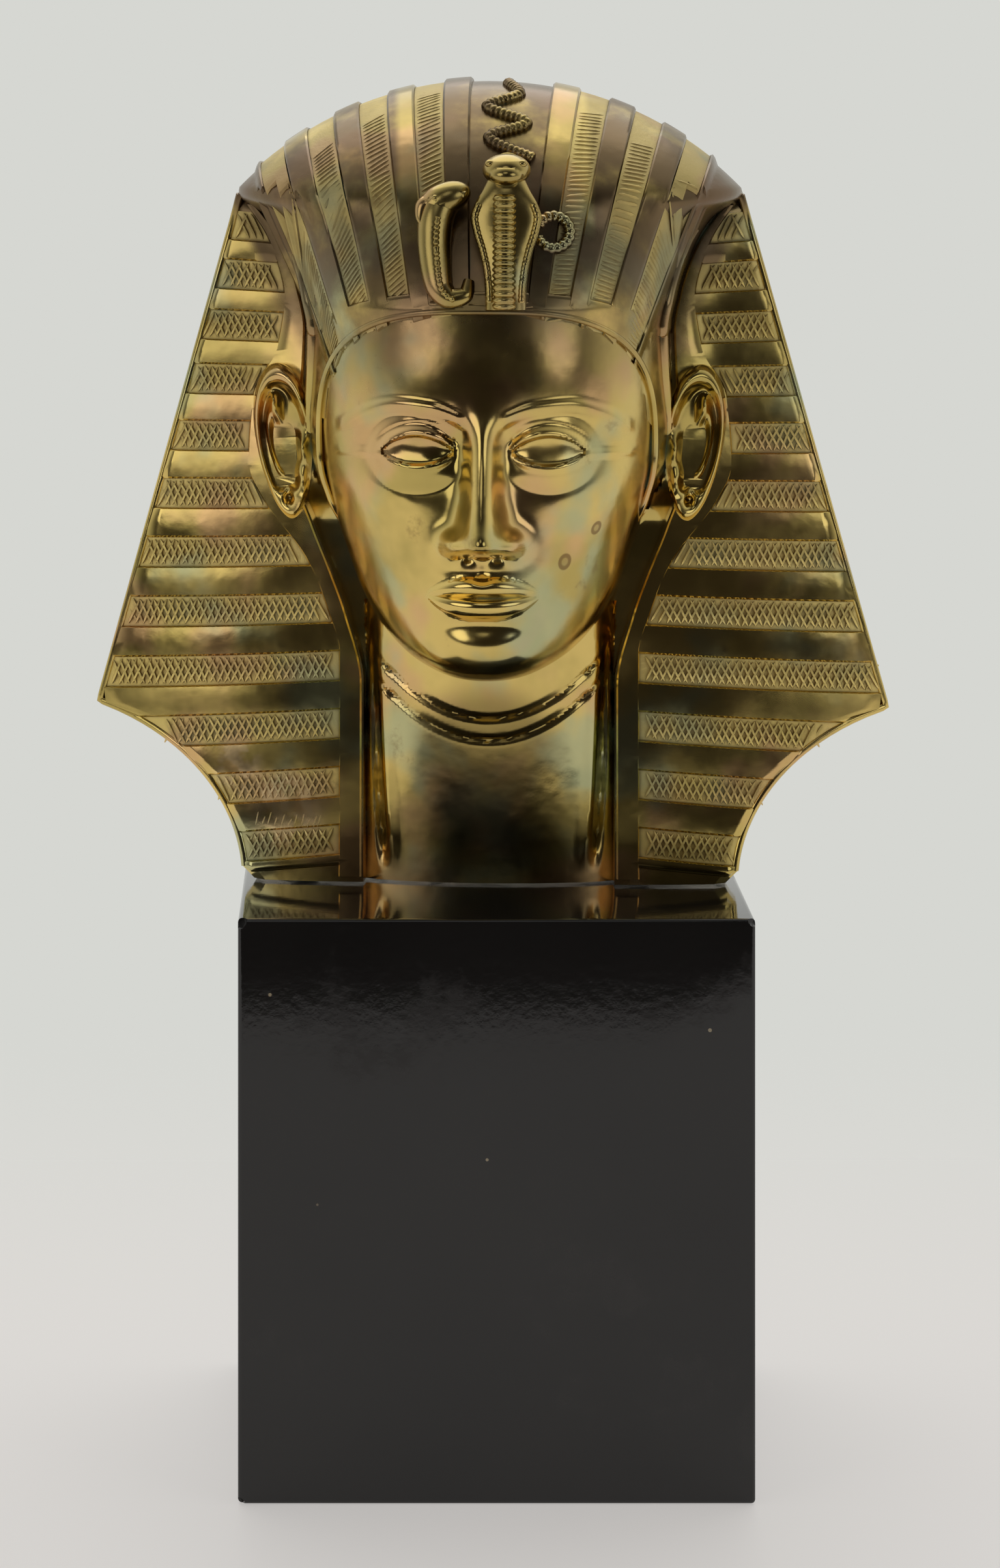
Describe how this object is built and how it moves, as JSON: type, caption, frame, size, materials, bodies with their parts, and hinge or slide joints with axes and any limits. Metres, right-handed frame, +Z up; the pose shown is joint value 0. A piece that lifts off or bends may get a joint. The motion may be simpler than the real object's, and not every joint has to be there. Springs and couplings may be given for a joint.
{
  "type": "gilt bronze bust on a stone plinth",
  "caption": "Gilt bronze bust of a calm ruler in a banded headcloth with a cobra and vulture at the brow, on a black polished stone plinth.",
  "frame": {"origin": "centre of the plinth's underside", "axes": "+Z up, the plinth's front and the face towards -Y, +X to the viewer's right"},
  "size_m": [0.1614, 0.1105, 0.2753],
  "materials": {
    "gilt_bronze": "polished gilding worn to brown in places, matte in the chased bands",
    "black_stone": "high polish"
  },
  "bodies": {
    "root": {"bust": "gilt_bronze", "plinth": "black_stone"}
  },
  "joints": []
}
